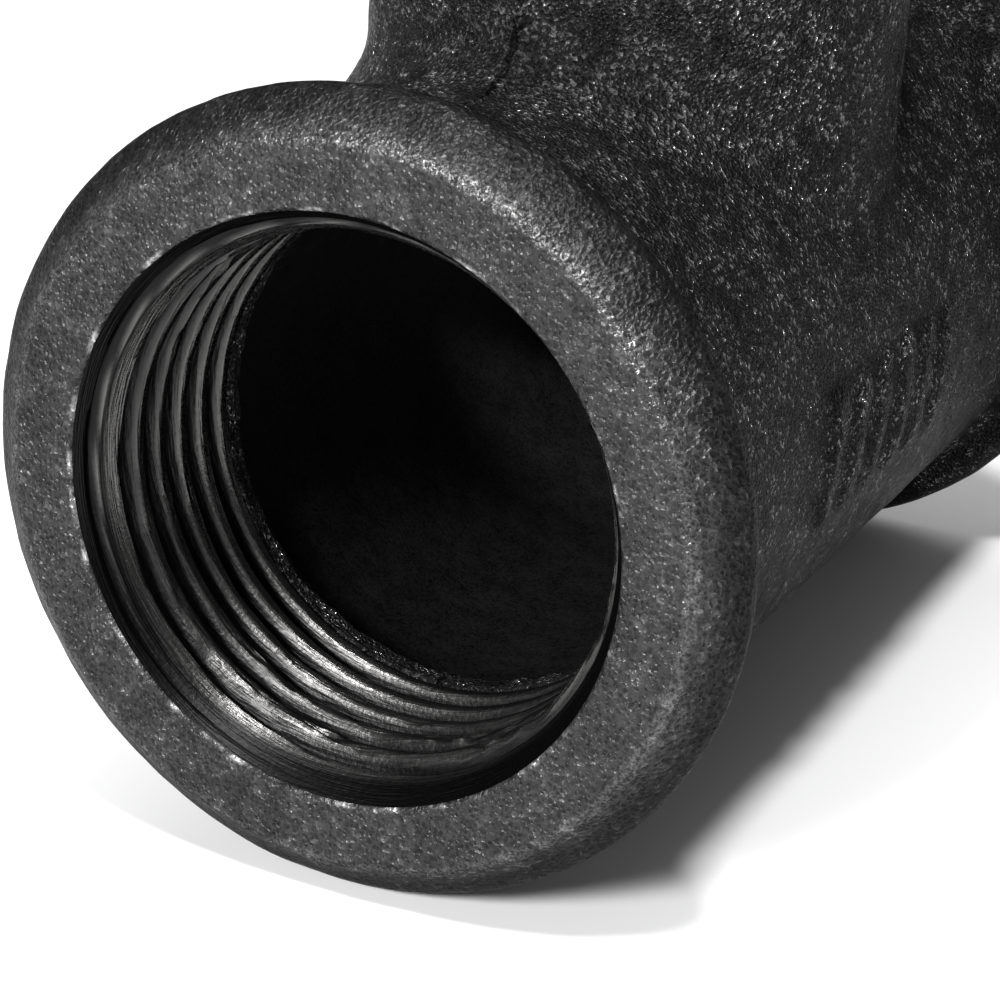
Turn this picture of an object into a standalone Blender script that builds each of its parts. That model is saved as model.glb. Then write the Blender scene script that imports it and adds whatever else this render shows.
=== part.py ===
"""Banded reducing pipe tee in malleable iron: 3/4 in run, 1/2 in branch, all three sockets tapped.

The tee stands on its run bands with the branch upright. The run lies along X, the branch points along +Z,
and the origin is on the base plane under the crossing of the two axes. Lengths are in metres.

Every part of the casting is turned or swept round a socket's own axis. A socket is described by a profile in
(depth, radius): depth is measured inwards from the socket's mouth, radius from its axis.
"""

import math
from dataclasses import dataclass

import bmesh
import bpy
from mathutils import Matrix, Vector

GAP = 0.0003  # between solids that touch on the real casting

# Threads: 14 turns to the inch in both sizes
PITCH = 0.0254 / 14
CHAMFER_SLOPE = math.tan(math.radians(30))

# Run
RUN_CENTRE_TO_END = 0.030
RUN_BAND_RADIUS = 0.0185
RUN_WALL_RADIUS = 0.0159

# Branch
BRANCH_CENTRE_TO_END = 0.031
BRANCH_BAND_RADIUS = 0.0152
BRANCH_WALL_RADIUS = 0.01335

# Bands have a flat face, a soft crease, a straight shoulder and a round back that fillets into the wall
BAND_HALF_WIDTH = 0.0022
BAND_ROUNDING = 0.0031
BRANCH_BAND_ROUNDING = 0.0022
BAND_CREASE_FALL = 0.63  # crease below the widest circle, as a share of the rounding
BAND_CREASE_REACH = 0.10  # flat face given up to the crease, as a share of the rounding
BAND_CORNER_DEPTH = 0.78  # where the shoulder's line meets the widest circle, as a share of the half width
BAND_SHOULDER_ENDS = (0.14, 0.62)  # straight part of the shoulder's line
BAND_FILLET_LENGTH = 0.0016
BAND_SPLIT_ANGLE = math.radians(36)

THREAD_RING_WALL = 0.0005  # iron kept with the thread, outside its roots
LEDGE_LENGTH = 0.0012
CROTCH_FILLET = 0.0045
SADDLE_EDGE = 0.0002  # thickness left at the saddle's outer edge

# Foundry marks: upright strokes in a row on the barrel's side
MARK_COUNT = 6
MARK_SPACING = 0.0033
MARK_FIRST_X = -0.0100
MARK_WIDTH = 0.0011
MARK_RISE = 0.0006
MARK_LOW = math.radians(-9)
MARK_HIGH = math.radians(9)
MARK_LEAN = 0.0012  # how far a stroke's foot lies behind its head, along X

SEGMENTS = 48
THREAD_SEGMENTS = 32
THREAD_STEPS_PER_TURN = 5
ARC_STEPS = 4
CREASE_STEPS = 2
MARK_STEPS = 4
SMOOTH_ANGLE = math.radians(35)

AXIS_HEIGHT = RUN_BAND_RADIUS


@dataclass(frozen=True)
class Finish:
    """How one kind of surface on the casting looks: grey shade, roughness and metallic share."""

    shade: float
    roughness: float
    metallic: float


BODY_SKIN = Finish(0.035, 0.50, 0.6)
BAND_SKIN = Finish(0.055, 0.55, 0.6)
MARK_SKIN = Finish(0.045, 0.50, 0.6)
CUT_THREAD = Finish(0.080, 0.35, 0.9)


@dataclass(frozen=True)
class Socket:
    """One threaded end: its sizes, measured from its own mouth and axis."""

    centre_to_end: float
    band_radius: float
    band_rounding: float
    wall_radius: float
    thread_major: float
    thread_minor: float
    mouth_radius: float
    thread_length: float
    chamber_radius: float

    @property
    def ring_radius(self):
        """Outside of the thread's ring."""
        return self.thread_major + THREAD_RING_WALL

    @property
    def seat_radius(self):
        """Bore that the thread's ring sits in."""
        return self.ring_radius + GAP

    @property
    def ledge_start(self):
        """Depth of the cast ledge behind the thread."""
        return self.thread_length + GAP

    @property
    def band_split(self):
        """Depth at which the band's solid ends and the wall's begins."""
        return BAND_HALF_WIDTH * (1 + math.cos(BAND_SPLIT_ANGLE))


RUN = Socket(
    centre_to_end=RUN_CENTRE_TO_END,
    band_radius=RUN_BAND_RADIUS,
    band_rounding=BAND_ROUNDING,
    wall_radius=RUN_WALL_RADIUS,
    thread_major=0.026441 / 2,
    thread_minor=0.024117 / 2,
    mouth_radius=0.01354,
    thread_length=0.0115,
    chamber_radius=0.0129,
)
BRANCH = Socket(
    centre_to_end=BRANCH_CENTRE_TO_END,
    band_radius=BRANCH_BAND_RADIUS,
    band_rounding=BRANCH_BAND_ROUNDING,
    wall_radius=BRANCH_WALL_RADIUS,
    thread_major=0.020955 / 2,
    thread_minor=0.018631 / 2,
    mouth_radius=0.01080,
    thread_length=0.0105,
    chamber_radius=0.0102,
)


def place_along(direction, socket):
    """Matrix from a socket's frame (z inwards from its mouth) to the tee's frame."""
    outward = Vector(direction)
    mouth = Vector((0, 0, AXIS_HEIGHT)) + outward * socket.centre_to_end
    turn = (-outward).to_track_quat("Z", "Y").to_matrix().to_4x4()
    return Matrix.Translation(mouth) @ turn


def clear_scene():
    """Removes whatever the scene starts with."""
    for item in list(bpy.data.objects):
        bpy.data.objects.remove(item, do_unlink=True)


def iron(name, finish):
    """A material of its own for one node."""
    material = bpy.data.materials.new(name)
    material.use_nodes = True
    shader = material.node_tree.nodes["Principled BSDF"]
    shader.inputs["Base Color"].default_value = (finish.shade, finish.shade, finish.shade, 1)
    shader.inputs["Roughness"].default_value = finish.roughness
    shader.inputs["Metallic"].default_value = finish.metallic
    return material


def add_object(name, mesh_builder, matrix, material):
    """Turns a bmesh into a named object with its origin where the matrix puts it."""
    bmesh.ops.recalc_face_normals(mesh_builder, faces=mesh_builder.faces)
    mesh = bpy.data.meshes.new(name)
    mesh_builder.to_mesh(mesh)
    mesh_builder.free()
    mesh.shade_smooth()
    mesh.set_sharp_from_angle(angle=SMOOTH_ANGLE)
    mesh.materials.append(material)
    item = bpy.data.objects.new(name, mesh)
    item.matrix_world = matrix
    bpy.context.collection.objects.link(item)
    return item


def swept_ring(section, steps):
    """A closed ring: section(angle) gives the same number of points at each step round it."""
    builder = bmesh.new()
    loops = [
        [builder.verts.new(point) for point in section(math.tau * step / steps)]
        for step in range(steps)
    ]
    for step, loop in enumerate(loops):
        following = loops[(step + 1) % steps]
        for index in range(len(loop)):
            after = (index + 1) % len(loop)
            builder.faces.new((loop[index], loop[after], following[after], following[index]))
    return builder


def turned_ring(profile, steps=SEGMENTS):
    """A closed (depth, radius) outline, turned round the z axis."""

    def section(angle):
        cosine, sine = math.cos(angle), math.sin(angle)
        return [(radius * cosine, radius * sine, depth) for depth, radius in profile]

    return swept_ring(section, steps)


def rounding(start, corner, finish, steps):
    """A curve that is tangent to the two straight runs meeting at the corner, without its first point."""
    points = []
    for step in range(1, steps + 1):
        along = step / steps
        parts = (1 - along) ** 2, 2 * along * (1 - along), along**2
        ends = zip(start, corner, finish)
        points.append(tuple(sum(part * end for part, end in zip(parts, line)) for line in ends))
    return points


def shoulder_outline(socket):
    """The band's front, from its flat face over the crease and the shoulder to its widest circle."""
    crease = (0, socket.band_radius - BAND_CREASE_FALL * socket.band_rounding)
    corner = (BAND_CORNER_DEPTH * BAND_HALF_WIDTH, socket.band_radius)
    widest = (BAND_HALF_WIDTH, socket.band_radius)
    face_end = (0, crease[1] - BAND_CREASE_REACH * socket.band_rounding)
    start, finish = (
        tuple(near + (far - near) * part for near, far in zip(crease, corner))
        for part in BAND_SHOULDER_ENDS
    )
    crease_curve = rounding(face_end, crease, start, CREASE_STEPS)
    return [face_end, *crease_curve, finish, *rounding(finish, corner, widest, ARC_STEPS)]


def bead_point(socket, angle):
    """A point of the band's back; 90 degrees is its widest circle."""
    return (
        BAND_HALF_WIDTH * (1 + math.cos(angle)),
        socket.band_radius - socket.band_rounding * (1 - math.sin(angle)),
    )


def bead_outline(socket):
    """The band's outside, from the mouth face over the widest circle to where the wall takes over."""
    quarter = math.pi / 2
    sweep = quarter - BAND_SPLIT_ANGLE
    back = [bead_point(socket, quarter - sweep * step / ARC_STEPS) for step in range(1, ARC_STEPS + 1)]
    return [*shoulder_outline(socket), *back]


def fillet_outline(socket):
    """The concave curve from the back of the band down to the wall, clear of the band's solid."""
    start = bead_point(socket, BAND_SPLIT_ANGLE)
    slope = BAND_HALF_WIDTH * math.tan(BAND_SPLIT_ANGLE) / socket.band_rounding
    corner = (start[0] + (start[1] - socket.wall_radius) * slope, socket.wall_radius)
    finish = (corner[0] + BAND_FILLET_LENGTH, socket.wall_radius)
    clear = start[0] + GAP
    return [(max(depth, clear), radius) for depth, radius in rounding(start, corner, finish, ARC_STEPS)]


def band_profile(socket):
    """The band's closed outline, from its back round the seat to its outside."""
    back = socket.band_split
    return [(back, socket.seat_radius), (0, socket.seat_radius), *bead_outline(socket)]


def socket_inside(socket):
    """The wall's inside from the band's back to the chamber: thread seat, cast ledge, chamber."""
    ledge_end = socket.ledge_start + LEDGE_LENGTH
    return [
        (socket.band_split + GAP, socket.seat_radius),
        (socket.ledge_start, socket.seat_radius),
        (socket.ledge_start, socket.thread_minor),
        (ledge_end, socket.thread_minor),
        (ledge_end + LEDGE_LENGTH, socket.chamber_radius),
    ]


def barrel_profile():
    """Outline of the run barrel in depths from the near mouth, closed through both ends."""
    whole = 2 * RUN.centre_to_end
    outside = fillet_outline(RUN)
    inside = socket_inside(RUN)
    far_outside = [(whole - depth, radius) for depth, radius in reversed(outside)]
    far_inside = [(whole - depth, radius) for depth, radius in inside]
    return [*outside, *far_outside, *far_inside, *reversed(inside)]


def thread_radius(socket, depth, angle):
    """Wall of the right-hand thread at a depth and angle, cut back by the mouth's chamfer."""
    wave = math.cos(math.tau * depth / PITCH - angle)
    middle = (socket.thread_major + socket.thread_minor) / 2
    height = (socket.thread_major - socket.thread_minor) / 2
    return max(middle - height * wave, socket.mouth_radius - CHAMFER_SLOPE * depth)


def thread_ring(socket):
    """The thread as a closed ring, with the helix on its inside."""
    count = round(socket.thread_length / PITCH * THREAD_STEPS_PER_TURN)
    depths = [socket.thread_length * step / count for step in range(count + 1)]

    def section(angle):
        wall = [(depth, thread_radius(socket, depth, angle)) for depth in depths]
        wall += [(socket.thread_length, socket.ring_radius), (0, socket.ring_radius)]
        cosine, sine = math.cos(angle), math.sin(angle)
        return [(radius * cosine, radius * sine, depth) for depth, radius in wall]

    return swept_ring(section, THREAD_SEGMENTS)


def crotch_arc(angle):
    """Fillet between barrel and neck at one angle round the branch, from barrel to neck.

    It is the path of a ball that touches both cylinders, in heights above the run's axis.
    """
    reach = BRANCH.wall_radius + CROTCH_FILLET
    clearance = RUN.wall_radius + CROTCH_FILLET
    across = reach * math.sin(angle)
    centre = Vector((reach * math.cos(angle), across, math.sqrt(clearance**2 - across**2)))
    inner = BRANCH.wall_radius / reach
    on_neck = Vector((centre.x * inner, centre.y * inner, centre.z)) - centre
    down = RUN.wall_radius / clearance
    on_barrel = Vector((centre.x, centre.y * down, centre.z * down)) - centre
    lift = math.sqrt(2 * (GAP + SADDLE_EDGE) / CROTCH_FILLET)  # turn that clears the barrel
    start = lift / on_barrel.angle(on_neck)
    steps = ARC_STEPS + 1
    return [
        centre + CROTCH_FILLET * on_barrel.slerp(on_neck, start + (1 - start) * step / steps)
        for step in range(steps + 1)
    ]


def on_saddle(radius_point):
    """Puts a point of the neck's underside on the barrel, one gap above it."""
    seat = RUN.wall_radius + GAP
    return Vector((radius_point.x, radius_point.y, math.sqrt(seat**2 - radius_point.y**2)))


def neck_section(angle):
    """The neck's closed section at one angle round the branch, in heights above the run's axis."""
    outward = Vector((math.cos(angle), math.sin(angle), 0))
    arc = crotch_arc(angle)
    upright = [
        outward * radius + Vector((0, 0, BRANCH.centre_to_end - depth))
        for depth, radius in (*reversed(fillet_outline(BRANCH)), *socket_inside(BRANCH))
    ]
    underside = [outward * BRANCH.chamber_radius, outward * BRANCH.wall_radius, arc[0]]
    return [*arc, *upright, *(on_saddle(point) for point in underside)]


def add_port(barrel):
    """Cuts the branch port through the barrel's top with a hidden cylinder."""
    builder = bmesh.new()
    height = BRANCH.centre_to_end
    bmesh.ops.create_cone(
        builder,
        cap_ends=True,
        segments=SEGMENTS,
        radius1=BRANCH.chamber_radius,
        radius2=BRANCH.chamber_radius,
        depth=height,
        matrix=Matrix.Translation((0, 0, AXIS_HEIGHT + height / 2)),
    )
    cutter = add_object("branch_port_cutter", builder, Matrix(), barrel.data.materials[0])
    cutter.hide_render = True
    cutter.display_type = "WIRE"
    cut = barrel.modifiers.new("branch_port", "BOOLEAN")
    cut.operation = "DIFFERENCE"
    cut.solver = "EXACT"
    cut.object = cutter


def mark_point(index, angle, across, radius):
    """A point of a mark: its place along the row, its angle up the barrel, and its offset across."""
    fall = (MARK_HIGH - angle) / (MARK_HIGH - MARK_LOW)
    along = MARK_FIRST_X + MARK_SPACING * index - MARK_LEAN * fall + across
    return Vector((along, -radius * math.cos(angle), AXIS_HEIGHT + radius * math.sin(angle)))


def mark_stroke(index):
    """One raised stroke, bent round the barrel, narrower on top than at its foot."""
    builder = bmesh.new()
    foot, top = RUN.wall_radius + GAP, RUN.wall_radius + MARK_RISE
    half, top_half = MARK_WIDTH / 2, MARK_WIDTH / 4
    corners = ((-half, foot), (half, foot), (top_half, top), (-top_half, top))
    rows = []
    for step in range(MARK_STEPS + 1):
        angle = MARK_LOW + (MARK_HIGH - MARK_LOW) * step / MARK_STEPS
        rows.append([builder.verts.new(mark_point(index, angle, *corner)) for corner in corners])
    for low, high in zip(rows, rows[1:]):
        for side in range(len(corners)):
            after = (side + 1) % len(corners)
            builder.faces.new((low[side], low[after], high[after], high[side]))
    builder.faces.new(rows[0])
    builder.faces.new(rows[-1])
    return builder


def build_socket(suffix, kind, direction, socket):
    """A socket's band and thread."""
    matrix = place_along(direction, socket)
    band, thread = f"{kind}_band{suffix}", f"{kind}_thread{suffix}"
    add_object(band, turned_ring(band_profile(socket)), matrix, iron(f"{band}_iron", BAND_SKIN))
    add_object(thread, thread_ring(socket), matrix, iron(f"{thread}_iron", CUT_THREAD))


def build_barrel():
    """The run's wall with the branch port cut through its top."""
    matrix = place_along((-1, 0, 0), RUN)
    material = iron("run_barrel_iron", BODY_SKIN)
    barrel = add_object("run_barrel", turned_ring(barrel_profile()), matrix, material)
    add_port(barrel)


def build_neck():
    """The branch's wall, flared down onto the barrel."""
    matrix = Matrix.Translation((0, 0, AXIS_HEIGHT))
    material = iron("branch_neck_iron", BODY_SKIN)
    add_object("branch_neck", swept_ring(neck_section, SEGMENTS), matrix, material)


def build_marks():
    """The row of foundry marks."""
    for index in range(MARK_COUNT):
        name = f"cast_mark_{index + 1}"
        add_object(name, mark_stroke(index), Matrix(), iron(f"{name}_iron", MARK_SKIN))


def main():
    """Builds the tee's nodes in order."""
    clear_scene()
    build_barrel()
    build_neck()
    build_socket("_near", "run", (-1, 0, 0), RUN)
    build_socket("_far", "run", (1, 0, 0), RUN)
    build_socket("", "branch", (0, 0, 1), BRANCH)
    build_marks()


main()
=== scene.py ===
"""Looks of a banded reducing pipe tee: one blackened iron casting with three tapped sockets.

The run lies along X and the branch stands along +Z. Sizes are in metres unless a name says otherwise.
A socket's outlines are lists of (depth, radius): depth inwards from its mouth, radius from its own axis.
"""

import logging
import math
from collections.abc import Callable, Iterable, Sequence
from dataclasses import dataclass, field
from enum import Enum

import bmesh
import bpy
import numpy as np
from mathutils import Matrix, Vector


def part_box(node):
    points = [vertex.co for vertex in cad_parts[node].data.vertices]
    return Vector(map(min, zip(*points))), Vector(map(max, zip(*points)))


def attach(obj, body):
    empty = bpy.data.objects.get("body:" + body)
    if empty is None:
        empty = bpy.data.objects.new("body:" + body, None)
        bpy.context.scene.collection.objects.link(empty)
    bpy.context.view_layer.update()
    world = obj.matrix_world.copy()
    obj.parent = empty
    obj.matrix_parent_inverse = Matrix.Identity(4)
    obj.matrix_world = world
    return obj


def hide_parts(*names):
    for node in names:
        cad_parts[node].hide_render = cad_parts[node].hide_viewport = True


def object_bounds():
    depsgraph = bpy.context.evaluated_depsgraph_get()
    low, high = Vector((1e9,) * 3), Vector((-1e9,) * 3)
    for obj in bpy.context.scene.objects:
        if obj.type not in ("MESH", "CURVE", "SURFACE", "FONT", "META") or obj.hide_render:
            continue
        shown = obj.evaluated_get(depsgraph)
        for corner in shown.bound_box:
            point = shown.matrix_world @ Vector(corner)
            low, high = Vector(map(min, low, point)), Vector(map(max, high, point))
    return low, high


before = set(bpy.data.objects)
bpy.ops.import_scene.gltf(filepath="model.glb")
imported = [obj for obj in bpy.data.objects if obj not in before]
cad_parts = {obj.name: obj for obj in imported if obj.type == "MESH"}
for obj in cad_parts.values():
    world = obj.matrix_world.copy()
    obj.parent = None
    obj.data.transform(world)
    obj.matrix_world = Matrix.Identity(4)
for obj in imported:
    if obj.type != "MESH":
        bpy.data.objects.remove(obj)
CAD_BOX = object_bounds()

LOG = logging.getLogger("tee")
MM = 0.001
PITCH = 0.0254 / 14
CHAMFER_SLOPE = math.tan(math.radians(30))
BAND_WIDTH = 3.0 * MM

Pair = tuple[float, float]
Place = tuple[float, float, float]
Outline = list[Pair]
Points = np.ndarray


class End(Enum):
    """The three sockets: the direction each opens in, and the CAD node of its thread."""

    NEAR = ((-1.0, 0.0, 0.0), "run_thread_near")
    FAR = ((1.0, 0.0, 0.0), "run_thread_far")
    BRANCH = ((0.0, 0.0, 1.0), "branch_thread")

    @property
    def outward(self) -> Vector:
        """The direction that the socket opens in."""
        return Vector(self.value[0])

    @property
    def thread_node(self) -> str:
        """The CAD node of the socket's thread."""
        return self.value[1]


class Side(Enum):
    """Which face of the casting's wall a surface is: the outside, or the inside that water meets."""

    OUTER = 1
    INNER = 2


# ---- node building


def math_node(operation: str, swapped: bool = False) -> Callable[..., "Wire"]:
    """A Wire method that adds one Math node; swapped puts the other value first."""

    def method(self: "Wire", *others: "Wire | float") -> "Wire":
        """The operation on this wire and any other values."""
        values = (*others, self) if swapped else (self, *others)
        return self.graph.node("ShaderNodeMath", {"operation": operation}, dict(enumerate(values)))

    return method


class Wire:
    """A node socket that takes part in Python expressions, each of which adds Math nodes."""

    __add__ = __radd__ = math_node("ADD")
    __mul__ = __rmul__ = math_node("MULTIPLY")
    __sub__, __rsub__ = math_node("SUBTRACT"), math_node("SUBTRACT", swapped=True)
    __truediv__ = math_node("DIVIDE")
    fraction, magnitude = math_node("FRACT"), math_node("ABSOLUTE")
    sine, cosine = math_node("SINE"), math_node("COSINE")
    power, at_least = math_node("POWER"), math_node("MAXIMUM")

    def __init__(self, graph: "Graph", socket: bpy.types.NodeSocket) -> None:
        """Keeps the socket and the graph it belongs to."""
        self.graph = graph
        self.socket = socket

    def ramp(self, low: float, high: float) -> "Wire":
        """0 below low, 1 above high, and an S-curve between; low may be the larger."""
        settings = {"interpolation_type": "SMOOTHSTEP"}
        values = {"Value": self, "From Min": low, "From Max": high}
        return self.graph.node("ShaderNodeMapRange", settings, values)


class Graph:
    """Builds any node tree through one method."""

    def __init__(self, tree: bpy.types.NodeTree) -> None:
        """Keeps the tree that nodes are added to."""
        self.tree = tree

    def node(
        self, kind: str, settings: dict[str, object] | None = None,
        inputs: dict[str | int, object] | None = None, output: str | int = 0,
    ) -> Wire:
        """Adds a node, sets it up and links it.

        Args:
            kind: the node's type name.
            settings: properties of the node, set before its sockets.
            inputs: values or wires by socket name or number.
            output: the socket that the result stands for.

        Returns:
            The chosen output as a Wire.
        """
        made = self.tree.nodes.new(kind)
        for name, value in (settings or {}).items():
            setattr(made, name, value)
        self.feed(made, inputs or {})
        return Wire(self, made.outputs[output])

    def feed(self, node: bpy.types.Node, inputs: dict[str | int, object]) -> None:
        """Links wires to a node's sockets and sets the plain values on theirs."""
        for key, value in inputs.items():
            if isinstance(value, Wire):
                self.tree.links.new(value.socket, node.inputs[key])
            else:
                node.inputs[key].default_value = value

    def vector(self, x: Wire | float, y: Wire | float, z: Wire | float) -> Wire:
        """A vector from its three parts."""
        return self.node("ShaderNodeCombineXYZ", {}, {"X": x, "Y": y, "Z": z})

    def split(self, vector: Wire) -> list[Wire]:
        """The three parts of a vector."""
        return [self.node("ShaderNodeSeparateXYZ", {}, {"Vector": vector}, axis) for axis in "XYZ"]

    def blend(self, factor: Wire | float, first: object, second: object) -> Wire:
        """A colour between two others, from first at 0 to second at 1."""
        settings = {"data_type": "RGBA"}
        return self.node("ShaderNodeMix", settings, {0: factor, 6: first, 7: second}, 2)

    def noise(self, place: Wire, size: float, detail: float, roughness: float = 0.5) -> Wire:
        """Noise whose lumps are about the given size across."""
        values = {"Vector": place, "Scale": 1 / size, "Detail": detail, "Roughness": roughness}
        return self.node("ShaderNodeTexNoise", {}, values)

    def bump(self, height: Wire, distance: float) -> Wire:
        """A normal tilted by a height that is counted in the given distance."""
        values = {"Strength": 1.0, "Distance": distance, "Height": height}
        return self.node("ShaderNodeBump", {}, values, "Normal")


def start_material(name: str) -> tuple[bpy.types.Material, Graph, bpy.types.Node]:
    """A new node material with its graph and its Principled shader."""
    material = bpy.data.materials.new(name)
    material.use_nodes = True
    return material, Graph(material.node_tree), material.node_tree.nodes["Principled BSDF"]


def grey(shade: float, warmth: float = 0.0) -> tuple[float, ...]:
    """A near-neutral colour; warmth moves it a little towards brown."""
    return (shade * (1 + warmth), shade, shade * (1 - warmth), 1.0)


# ---- finishes


class CastRegion:
    """Masks that tell the casting's bands and its chamber from its body, by place.

    A pair of sizes is where a mask starts and where it is full.
    """

    BAND_BACK = (-0.5 * MM, 0.3 * MM)
    RUN_FACE = (1.1 * MM, 0.45 * MM)
    BRANCH_FACE = (0.8 * MM, 0.35 * MM)
    RUN_INSIDE = (14.6 * MM, 14.0 * MM)
    BRANCH_INSIDE = (12.0 * MM, 11.4 * MM)
    LEDGE_DEPTH = (13.2 * MM, 12.8 * MM)
    LIP_RADIUS = 13.50 * MM
    LIP_REACH = (0.22 * MM, 0.05 * MM)
    LIP_DEPTH = (0.30 * MM, 0.10 * MM)
    CREASE_RADIUS = 16.62 * MM
    CREASE_REACH = (0.42 * MM, 0.12 * MM)
    CREASE_DEPTH = (0.60 * MM, 0.40 * MM)

    def __init__(self, graph: Graph, place: Wire) -> None:
        """Works out the masks.

        Args:
            graph: the material's graph.
            place: the point on the casting, in the tee's frame.
        """
        along, self.across, height = graph.split(place)
        low, high = (Vector(corner) for corner in CAD_BOX)
        outwards = along.magnitude()

        def from_mouth(reach: Wire, end: float, depths: Pair) -> Wire:
            """1 nearer a mouth than the depths."""
            return reach.ramp(*(end - depth for depth in depths))

        run_back, branch_back = high.x - BAND_WIDTH, high.z - BAND_WIDTH
        on_run = outwards.ramp(*(run_back + step for step in self.BAND_BACK))
        on_branch = height.ramp(*(branch_back + step for step in self.BAND_BACK))
        self.bands = on_run.at_least(on_branch)
        run_face = from_mouth(outwards, high.x, self.RUN_FACE)
        self.faces = run_face.at_least(from_mouth(height, high.z, self.BRANCH_FACE))
        up = height - high.y
        from_run = (up * up + self.across * self.across).power(0.5)
        from_branch = (along * along + self.across * self.across).power(0.5)
        in_run = from_run.ramp(*self.RUN_INSIDE) * outwards.ramp(high.x, high.x - MM)
        in_branch = from_branch.ramp(*self.BRANCH_INSIDE) * height.ramp(high.z, high.z - MM)
        self.ledge = in_run * from_mouth(outwards, high.x, self.LEDGE_DEPTH)
        self.chamber = in_run.at_least(in_branch) * (1 - self.ledge)
        lip = (from_run - self.LIP_RADIUS).magnitude().ramp(*self.LIP_REACH)
        self.lip = lip * from_mouth(outwards, high.x, self.LIP_DEPTH)
        crease = (from_run - self.CREASE_RADIUS).magnitude().ramp(*self.CREASE_REACH)
        self.crease = crease * from_mouth(outwards, high.x, self.CREASE_DEPTH)


@dataclass(frozen=True)
class CastFinish:
    """As-cast skin of blackened iron: sand grain, dull patches and small grains drawn lighter as painted
    glints.
    """

    name: str = "blackened_cast_skin"
    dark: float = 0.003
    light: float = 0.035
    patch_shade: float = 0.24
    grain_shade: float = 0.46
    grit_shade: float = 0.24
    band_shade: float = 0.45
    # Painted shade: how much darker the parting crack is drawn.
    seam_painted_shade: float = 0.6
    glint_gain: float = 6.0
    band_glints: float = 0.12
    shoulder_gain: float = 1.0
    lit_face_gain: float = 1.85
    band_evenness: float = 0.25
    chamber_painted_shade: float = 0.70
    ledge_painted_light: float = 1.8
    crease_highlight_gain: float = 0.9
    lip_gain: float = 4.0
    patch_mm: float = 1.6
    grit_mm: float = 0.12
    body_grain_mm: float = 0.17
    band_grain_mm: float = 0.24
    body_slope: float = 1.05
    band_slope: float = 0.38
    grit_height_mm: float = 0.045
    patch_height_mm: float = 0.14
    seam_depth_mm: float = 0.3
    seam_half_width_mm: float = 0.22
    seam_wander_mm: float = 1.6
    roughness: float = 0.29
    patch_roughness: float = 0.16
    chamber_roughness: float = 0.4
    glint_polish: float = 0.20
    crease_polish: float = 0.14
    metallic: float = 0.62
    edge_shine: float = 0.05

    def build(self) -> bpy.types.Material:
        """Makes the material.

        Returns:
            A node material on Object coordinates.
        """
        material, graph, shader = start_material(self.name)
        place = graph.node("ShaderNodeTexCoord", {}, {}, "Object")
        region = CastRegion(graph, place)
        patches = graph.noise(place, self.patch_mm * MM, 3.0, 0.55)
        grit = graph.noise(place, self.grit_mm * MM, 2.0, 0.55)
        body, body_glint = self._grains(graph, place, self.body_grain_mm)
        band, band_glint = self._grains(graph, place, self.band_grain_mm)
        pits = body + (band - body) * region.bands
        mixed_glint = body_glint + (self.band_glints * band_glint - body_glint) * region.bands
        glints = mixed_glint * (1 - region.chamber)
        seam = self._seam(graph, place, region)
        plain = 1 - region.bands.at_least(region.chamber)
        gain = self._gain(region, patches, grit, glints, seam)
        level = gain * self._shade(region, patches, grit, pits)
        polish = self.glint_polish * glints * plain + self.crease_polish * region.crease
        roughness = self.roughness + self.patch_roughness * (patches - 0.5) - polish
        body_relief = body * (self.body_slope * self.body_grain_mm) * plain
        band_relief = band * (self.band_slope * self.band_grain_mm) * region.bands
        relief = body_relief + band_relief * (1 - 0.5 * region.crease)
        height = relief + grit * self.grit_height_mm + patches * self.patch_height_mm
        channels = dict.fromkeys(("Red", "Green", "Blue"), level)
        graph.feed(shader, {
            "Base Color": graph.node("ShaderNodeCombineColor", {}, channels),
            "Roughness": roughness + self.chamber_roughness * region.chamber,
            "Normal": graph.bump(height - self.seam_depth_mm * seam, MM),
            "Metallic": self.metallic,
            "Specular IOR Level": self.edge_shine,
            "Specular Tint": grey(self.edge_shine),
        })
        return material

    def _shade(self, region: CastRegion, patches: Wire, grit: Wire, pits: Wire) -> Wire:
        """The skin's colour before any brightening."""
        patch, grain = patches.ramp(0.32, 0.68), pits.ramp(0.10, 0.62)
        shade = patch * self.patch_shade + grain * self.grain_shade
        shade = shade + grit.ramp(0.3, 0.7) * self.grit_shade
        shade = shade + (self.band_shade - shade) * self.band_evenness * region.bands
        return self.dark + (self.light - self.dark) * shade

    def _gain(self, region: CastRegion, patches: Wire, grit: Wire, glints: Wire, seam: Wire) -> Wire:
        """How much lighter or darker each region is: painted shade in the chamber and the parting crack,
        painted light on the ledge and the flat faces, painted glints on scattered grains, a painted
        highlight along the crease, and a lighter lip at each mouth.
        """
        gain = 1 + (self.shoulder_gain - 1) * region.bands
        # Painted light: the flat faces round the mouths are drawn lighter than the rest of the skin.
        gain = gain + (self.lit_face_gain - self.shoulder_gain) * region.faces
        # Painted shade: the chamber inside the tee and the parting crack are drawn darker.
        gain = gain * (1 - (1 - self.chamber_painted_shade) * region.chamber) * (1 - self.seam_painted_shade * seam)
        # Painted light: the cast ledge where each run thread ends is drawn lighter.
        gain = gain * (1 + (self.ledge_painted_light - 1) * region.ledge)
        # Painted glints: scattered grains are drawn lighter.
        gain = gain * (1 + self.glint_gain * glints * patches.ramp(0.35, 0.60))
        gain = gain * (1 + self.lip_gain * region.lip * patches.ramp(0.50, 0.64))
        # Painted highlight: the crease on each run band's front is drawn lighter in patches.
        return gain * (1 + self.crease_highlight_gain * region.crease * grit.ramp(0.35, 0.60))

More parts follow.
